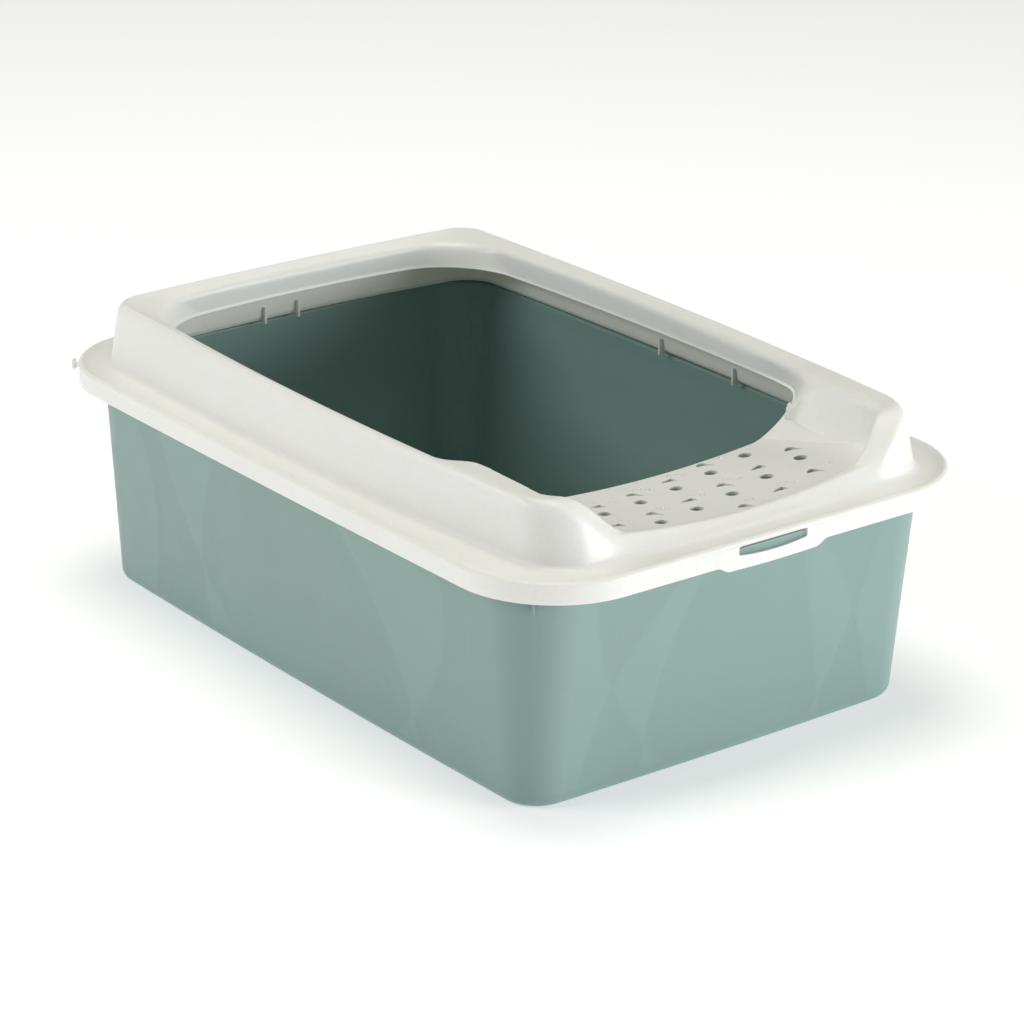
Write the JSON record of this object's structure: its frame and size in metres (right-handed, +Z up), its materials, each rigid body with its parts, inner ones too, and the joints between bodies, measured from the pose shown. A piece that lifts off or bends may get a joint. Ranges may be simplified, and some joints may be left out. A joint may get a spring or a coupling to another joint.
{
  "type": "cat litter box",
  "caption": "Open-top cat litter box: deep rectangular tray with a clip-on high rim, a lowered perforated entry step and windowed spring latches at the ends.",
  "frame": {"origin": "middle of the overall footprint, on the floor under the tray", "axes": "+X across the tray, -Y towards the entry end, +Z up"},
  "size_m": [0.366, 0.56, 0.2037],
  "materials": {
    "tray_green": "satin moulded polypropylene, grey-green",
    "rim_white": "smooth moulded polypropylene, warm white, tread finely textured",
    "latch_white": "smooth moulded polypropylene, warm white"
  },
  "bodies": {
    "tray": {"litter_tray": "tray_green"},
    "rim": {"high_rim": "rim_white"},
    "latch_front": {"front_latch": "latch_white"},
    "latch_rear": {"rear_latch": "latch_white"}
  },
  "joints": [
    {"name": "rim_lift", "type": "slide", "parent": "tray", "child": "rim", "axis": [0, 0, 1], "range_m": [0, 0.12]},
    {"name": "front_latch_flex", "type": "hinge", "parent": "rim", "child": "latch_front", "pos_m": [0, -0.279, 0.1592], "axis": [-1, 0, 0], "range_deg": [0, 8], "stiffness_Nm_per_rad": 2},
    {"name": "rear_latch_flex", "type": "hinge", "parent": "rim", "child": "latch_rear", "pos_m": [0, 0.279, 0.1592], "axis": [1, 0, 0], "range_deg": [0, 8], "stiffness_Nm_per_rad": 2}
  ]
}
